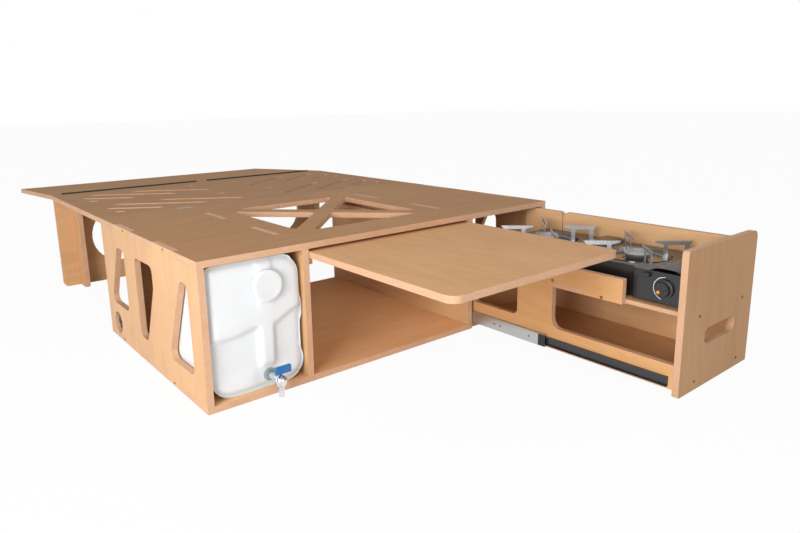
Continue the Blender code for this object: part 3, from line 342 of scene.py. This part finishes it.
ROUND_CORNER, SEAM_CORNER, ROUND_EDGE = 0.058, 0.020, 0.024
CUTS = 59
OUTER_SHELL, FACE_LAYER = 0.999, 1e-6
WAIST_IN, SHOULDER_IN = 0.0085, 0.008
PANEL_BACK, FOOT_OUT, FOREHEAD_BACK = 0.0125, 0.006, 0.004
CENTRE_X = 0.673
TAP_AT = (0.1878, 0.054)
low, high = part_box("canister")
middle, half = (low + high) / 2, (high - low) / 2
shape = bmesh.new()
bmesh.ops.create_cube(shape, size=2)
bmesh.ops.subdivide_edges(shape, edges=shape.edges[:], cuts=CUTS, use_grid_fill=True)
for vertex in shape.verts:
    x, y, z = (vertex.co[axis] * half[axis] for axis in range(3))
    # The outline's corners, with a tight one at the top left, where the mould's seam runs
    corner = SEAM_CORNER if x < 0 < z else ROUND_CORNER
    inner_x, inner_z = half.x - corner, half.z - corner
    over_x, over_z = max(abs(x) - inner_x, 0), max(abs(z) - inner_z, 0)
    if over_x and over_z:
        longest = max(over_x, over_z)
        length = (over_x * over_x + over_z * over_z) ** 0.5
        x = (inner_x + over_x * longest / length) * (1 if x > 0 else -1)
        z = (inner_z + over_z * longest / length) * (1 if z > 0 else -1)
    rim = max(abs(vertex.co.x), abs(vertex.co.z))
    at_z = z + middle.z
    # The right wall's waist between the foot and the brow, and the slimmer head above
    waist = smooth_step(at_z, 0.086, 0.104) * (1 - smooth_step(at_z, 0.184, 0.200))
    shoulder = smooth_step(at_z, 0.244, 0.262)
    if rim > OUTER_SHELL and x > 0:
        x -= (WAIST_IN * waist + SHOULDER_IN * shoulder) * smooth_step(vertex.co.x, 0.75, 1.0)
    vertex.co = Vector((x, y, z))
for vertex in shape.verts:
    # Round the edges of the front and back faces
    x, y, z = vertex.co
    from_side = min(half.x - abs(x), half.z - abs(z))
    corner = SEAM_CORNER if x < 0 < z else ROUND_CORNER
    into_x, into_z = half.x - corner, half.z - corner
    if abs(x) > into_x and abs(z) > into_z:
        from_side = corner - ((abs(x) - into_x) ** 2 + (abs(z) - into_z) ** 2) ** 0.5
    dip = max(ROUND_EDGE - from_side, 0)
    drop = ROUND_EDGE - (max(ROUND_EDGE ** 2 - dip ** 2, 0)) ** 0.5
    if y < 0:
        y = max(y, -half.y) + (drop if y < -half.y + FACE_LAYER else 0)
    else:
        y -= drop if y > half.y - FACE_LAYER else 0
    at_x, at_z = x + middle.x + CENTRE_X, z + middle.z
    if vertex.co.y < -half.y + FACE_LAYER:
        # The lower panels lie back on both sides of the spine, under a bulging brow
        spine = smooth_step(at_x, 0.157, 0.166) * (1 - smooth_step(at_x, 0.202, 0.211))
        brow_z = 0.186 + 0.012 * smooth_step(at_x, 0.080, 0.150) + 0.035 * smooth_step(at_x, 0.195, 0.290)
        under = 1 - smooth_step(at_z, brow_z - 0.012, brow_z + 0.004)
        from_tap = ((at_x - TAP_AT[0]) ** 2 + (at_z - TAP_AT[1]) ** 2) ** 0.5
        foot = (1 - smooth_step(at_z, 0.050, 0.095)) * smooth_step(from_tap, 0.020, 0.060)
        spine_end = smooth_step(at_z, 0.072, 0.096)
        lip = 1 - smooth_step(at_z, brow_z + 0.002, brow_z + 0.060)
        y += PANEL_BACK * under * (1 - spine * spine_end) - FOOT_OUT * foot * under
        y += FOREHEAD_BACK * (1 - lip) * smooth_step(at_z, 0.22, 0.30) * (1 - spine)
    vertex.co = Vector((x, y, z)) + middle
for _ in range(2):
    bmesh.ops.smooth_vert(shape, verts=shape.verts, factor=0.5, use_axis_x=True, use_axis_y=True, use_axis_z=True)
canister = finished("canister_shell", shape, milky, "canister", ["canister"])
rounding = canister.modifiers.new("round", "SUBSURF")
rounding.levels = rounding.render_levels = 1


def turned(profile, centre, axis, steps=64):
    # A closed turned shape from (radius, along) points, spun round an axis through centre
    shape = bmesh.new()
    points = [shape.verts.new((radius, 0, along)) for radius, along in profile]
    edges = [shape.edges.new(pair) for pair in zip(points, points[1:])]
    bmesh.ops.spin(shape, geom=points + edges, cent=(0, 0, 0), axis=(0, 0, 1), dvec=(0, 0, 0), angle=2 * pi,
                   steps=steps, use_merge=True)
    bmesh.ops.remove_doubles(shape, verts=shape.verts, dist=1e-6)
    turn = Vector((0, 0, 1)).rotation_difference(Vector(axis)).to_matrix().to_4x4()
    bmesh.ops.transform(shape, matrix=Matrix.Translation(centre) @ turn, verts=shape.verts)
    return shape


low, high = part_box("canister_cap")
radius, deep = (high.x - low.x) / 2, high.y - low.y
cap_middle = Vector(((low.x + high.x) / 2, high.y, (low.z + high.z) / 2))
profile = [(0, deep * 0.92), (radius * 0.45, deep * 0.94), (radius * 0.70, deep * 0.97), (radius * 0.84, deep)]
angles = [step * pi / 12 for step in range(1, 7)]
profile += [(radius * 0.84 + radius * 0.15 * sin(angle), deep * 0.62 + deep * 0.38 * cos(angle)) for angle in angles]
profile += [(radius * 0.995, deep * 0.3), (radius, deep * 0.06), (radius * 0.98, 0), (0, 0)]
finished("canister_cap_moulded", turned(profile, cap_middle, (0, -1, 0)), milky, "canister_cap",
         ["canister_cap"])


# ---- Slides of zinc-plated and black steel, nickel, chrome and black enamel of the stoves, lacquered hinges, and the
# tap's chrome, washer and blue plastic. Their CAD solids keep their shapes and are dressed in these finishes.
def metal_paint(colour, rough, scale=60.0, stretch=(1, 1, 1), wear=0.15, bump=0.00004):
    def paint():
        cloud = noise(scale, 3.0, stretched(stretch), 0.6)
        fine = noise(scale * 14, 2.0, stretched(stretch))
        dull = tuple(c * 0.78 for c in colour)
        return {"Base Color": blend(cloud.step(0.40, 0.72, 0.0, 0.8), colour, dull), "Metallic": 1.0,
                "Roughness": rough + cloud * wear + fine * 0.06, "bump": (fine + cloud, bump)}
    return paint


def black_paint(rough, coat=0.0, grain=700.0, colour=(0.022, 0.022, 0.024), bump=0.00006):
    def paint():
        dust = noise(5.0, 3.0)
        fine = noise(grain, 2.0)
        return {"Base Color": blend(dust.step(0.45, 0.75, 0.0, 0.5), colour, tuple(c * 1.7 for c in colour)),
                "Roughness": rough + dust * 0.12, "Coat Weight": coat, "Coat Roughness": 0.08, "bump": (fine, bump)}
    return paint


zinc = material("zinc_plate", metal_paint((0.56, 0.56, 0.55), 0.28, 30.0, (1, 0.05, 1)))
steel = material("bright_steel", metal_paint((0.62, 0.62, 0.63), 0.30))
nickel = material("nickel_plate", metal_paint((0.70, 0.71, 0.74), 0.30, 90.0))
chrome = material("chrome", metal_paint((0.80, 0.80, 0.82), 0.06, 40.0, wear=0.05, bump=0.00001))
dish = material("dish_enamel", metal_paint((0.30, 0.29, 0.28), 0.10, 25.0, wear=0.06, bump=0.00001))
burner_metal = material("burner_casting", metal_paint((0.62, 0.63, 0.62), 0.26, 120.0))
slide_black = material("slide_black_plate", black_paint(0.30, 0.25, 300.0, (0.020, 0.021, 0.026)))
enamel = material("black_enamel", black_paint(0.20, 0.35, 900.0, (0.014, 0.014, 0.015)))
plastic = material("black_plastic", black_paint(0.42, 0.0, 1300.0))
hinge_black = material("black_lacquer", black_paint(0.5, 0.0, 500.0))


def blue_paint():
    cloud = noise(30.0)
    return {"Base Color": blend(cloud.step(0.3, 0.7), (0.003, 0.120, 0.36), (0.004, 0.145, 0.42)),
            "Roughness": 0.32 + cloud * 0.08, "Coat Weight": 0.2, "bump": (noise(700.0), 0.00005)}


blue = material("blue_plastic", blue_paint)


def rubber_paint():
    return {"Base Color": blend(noise(60.0).step(0.3, 0.7), (0.30, 0.37, 0.36), (0.24, 0.31, 0.31)),
            "Roughness": 0.5 + noise(80.0) * 0.15, "bump": (noise(500.0), 0.00008)}


washer = material("grey_green_washer", rubber_paint)


def tin_paint():
    return {"Base Color": blend(noise(14.0).step(0.4, 0.7), (0.70, 0.71, 0.72), (0.64, 0.65, 0.67)),
            "Roughness": 0.28 + noise(40.0) * 0.1, "Metallic": 0.6, "bump": (noise(300.0), 0.00003)}


tin = material("plain_tin", tin_paint)
for hand in ("left", "right"):
    dress([f"slide_outer_{hand}", f"slide_middle_{hand}"], zinc)
    dress(f"slide_inner_{hand}", slide_black)
    dress([f"lift_hinge_{hand}_cabinet_leaf", f"lift_hinge_{hand}_bed_leaf"], steel)
    dress([f"fold_hinge_{hand}_middle_leaf", f"fold_hinge_{hand}_end_leaf"], hinge_black)
    dress([f"clamp_plate_{hand}", f"clamp_knob_{hand}"], plastic)
dress("tap_gasket", washer)
dress("tap_body", chrome)
dress("tap_lever", blue)
for stove in ("front_stove", "rear_stove"):
    dress([f"{stove}_case", f"{stove}_cartridge_lid"], enamel)
    dress(f"{stove}_drip_pan", dish)
    dress(f"{stove}_burner", burner_metal)
    dress(f"{stove}_pan_supports", nickel)
    dress(f"{stove}_gas_cartridge", tin)
    dress([f"{stove}_dial", f"{stove}_lock_lever"], plastic)

# ---- Bolts: black steel socket heads that hold the boards together, sunk nearly flush.
BOLT_RADIUS, SMALL_BOLT_RADIUS = 0.0045, 0.0035
CABINET_DEEP, CABINET_HIGH = 0.82, 0.404
FRONT_BOLTS = ((1.057, 0.210), (1.309, 0.210), (1.305, 0.027), (1.055, 0.027))
PANEL_BOLT_SHARES = ((0.703, 0.980), (0.279, 0.980), (0.280, 0.022), (0.825, 0.022))
DRAWER_BOLTS = ((-0.8994, 0.2234), (-0.6644, 0.2241), (-0.731, 0.2382))
bolt_black = material("bolt_black", black_paint(0.35, 0.0, 900.0, (0.012, 0.012, 0.012)))


def bolt(name, place, axis, body, radius=BOLT_RADIUS, proud=0.0009):
    profile = [(0, -0.0006), (radius * 0.42, -0.0006), (radius * 0.48, proud * 0.8), (radius * 0.8, proud),
               (radius, proud * 0.4), (radius, -0.003), (0, -0.003)]
    finished(name, turned(profile, Vector(place), axis, 20), bolt_black, body)


front_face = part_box("drawer_front")[0].y
for number, (x, z) in enumerate(FRONT_BOLTS):
    bolt(f"front_bolt_{number}", (x - CENTRE_X, front_face, z), (0, -1, 0), "drawer")
left_face, right_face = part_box("side_panel_left")[0].x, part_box("side_panel_right")[1].x
for number, (share_y, share_z) in enumerate(PANEL_BOLT_SHARES):
    y, z = -CABINET_DEEP / 2 + CABINET_DEEP * share_y, CABINET_HIGH * share_z
    bolt(f"left_side_bolt_{number}", (left_face, y, z), (-1, 0, 0), "cabinet", radius=SMALL_BOLT_RADIUS)
    bolt(f"right_side_bolt_{number}", (right_face, y, z), (1, 0, 0), "cabinet", radius=SMALL_BOLT_RADIUS)
near_face, far_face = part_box("drawer_side_left")[0].x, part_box("drawer_side_right")[1].x
for number, (y, z) in enumerate(DRAWER_BOLTS):
    bolt(f"near_drawer_bolt_{number}", (near_face, y, z), (-1, 0, 0), "drawer")
    bolt(f"far_drawer_bolt_{number}", (far_face, y, z), (1, 0, 0), "drawer")


# ---- Slide fittings: each middle member carries three black screws and, at its front end, a black plastic stop
# that the inner member runs out of. They are pressed in nearly flush, so that the drawer closes over them.
def bar(name, low, high, round_edge, made, body, turn=0.0):
    # A block with rounded edges, turned about X through its middle
    shape = bmesh.new()
    bmesh.ops.create_cube(shape, size=1)
    low, high = Vector(low), Vector(high)
    bmesh.ops.scale(shape, vec=high - low, verts=shape.verts)
    bmesh.ops.bevel(shape, geom=shape.edges[:], offset=round_edge, affect="EDGES", segments=2, profile=0.5,
                    material=-1)
    bmesh.ops.rotate(shape, cent=(0, 0, 0), matrix=Matrix.Rotation(turn, 3, "X"), verts=shape.verts)
    bmesh.ops.translate(shape, vec=(low + high) / 2, verts=shape.verts)
    return finished(name, shape, made, body, smooth=False)


STOP_LONG, STOP_INSET, STOP_EDGE = 0.026, 0.001, 0.0003
FITTING_PROUD = 0.0004
SCREWS_ALONG = (0.062, 0.182, 0.206)
for hand, outward in (("left", -1), ("right", 1)):
    low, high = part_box(f"slide_middle_{hand}")
    face = low.x if outward < 0 else high.x
    ends = sorted((face - FITTING_PROUD, face + FITTING_PROUD))
    bar(f"slide_stop_{hand}", (ends[0], low.y, low.z + STOP_INSET),
        (ends[1], low.y + STOP_LONG, high.z - STOP_INSET), STOP_EDGE, bolt_black, "slide_middle")
    for number, along in enumerate(SCREWS_ALONG):
        bolt(f"slide_screw_{hand}_{number}", (face, low.y + along, (low.z + high.z) / 2), (outward, 0, 0),
             "slide_middle", radius=SMALL_BOLT_RADIUS, proud=FITTING_PROUD)

# ---- Stove controls: each dial has a raised grip bar of black plastic with an orange mark at its pointing end, and
# a plain white arc is printed round it on the panel.
ARC_RADIUS, ARC_WIDE, ARC_PROUD = 0.030, 0.0018, 0.0003
ARC_SWEEP, ARC_STEPS = radians(165), 32
GRIP_TURN = radians(50)
GRIP_HALF_WIDE, GRIP_HALF_LONG, GRIP_PROUD, GRIP_SUNK, GRIP_EDGE = 0.0055, 0.016, 0.0014, 0.001, 0.0007
MARK_HALF, MARK_PROUD, MARK_SUNK, MARK_EDGE = 0.004, 0.0018, -0.0008, 0.0002
MARK_OFF = Vector((0, 0.0085, -0.0075))


def mark_paint(colour):
    def paint():
        speck = noise(600.0)
        return {"Base Color": blend(speck.step(0.4, 0.7, 0.0, 0.3), colour, tuple(c * 0.8 for c in colour)),
                "Roughness": 0.35 + speck * 0.1, "bump": (speck, 0.00002)}
    return paint


print_white = material("print_white", mark_paint((0.80, 0.80, 0.80)))
mark_orange = material("mark_orange", mark_paint((0.85, 0.33, 0.01)))
for stove in ("front_stove", "rear_stove"):
    panel_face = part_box(f"{stove}_case")[0].x
    dial_low, dial_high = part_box(f"{stove}_dial")
    hub = (dial_low + dial_high) / 2
    top_face = dial_low.x
    bar(f"{stove}_dial_grip", (top_face - GRIP_PROUD, hub.y - GRIP_HALF_WIDE, hub.z - GRIP_HALF_LONG),
        (top_face + GRIP_SUNK, hub.y + GRIP_HALF_WIDE, hub.z + GRIP_HALF_LONG), GRIP_EDGE, plastic,
        f"{stove}_dial", GRIP_TURN)
    spot = hub + MARK_OFF
    bar(f"{stove}_dial_mark", (top_face - MARK_PROUD, spot.y - MARK_HALF, spot.z - MARK_HALF),
        (top_face + MARK_SUNK, spot.y + MARK_HALF, spot.z + MARK_HALF), MARK_EDGE, mark_orange,
        f"{stove}_dial", GRIP_TURN)
    shape = bmesh.new()
    section = ((-ARC_PROUD, 0), (-ARC_PROUD, ARC_WIDE), (ARC_PROUD, ARC_WIDE), (ARC_PROUD, 0))
    corners = [shape.verts.new((panel_face + depth, hub.y, hub.z + ARC_RADIUS + out)) for depth, out in section]
    rim = [shape.edges.new((corners[side], corners[(side + 1) % 4])) for side in range(4)]
    bmesh.ops.spin(shape, geom=corners + rim, cent=(panel_face, hub.y, hub.z), axis=(1, 0, 0), dvec=(0, 0, 0),
                   angle=-ARC_SWEEP, steps=ARC_STEPS, use_merge=False)
    bmesh.ops.holes_fill(shape, edges=shape.edges[:], sides=4)
    finished(f"{stove}_dial_arc", shape, print_white, "drawer", smooth=False)

size = {"cad": cad_box, "visual": [list(corner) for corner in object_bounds()]}
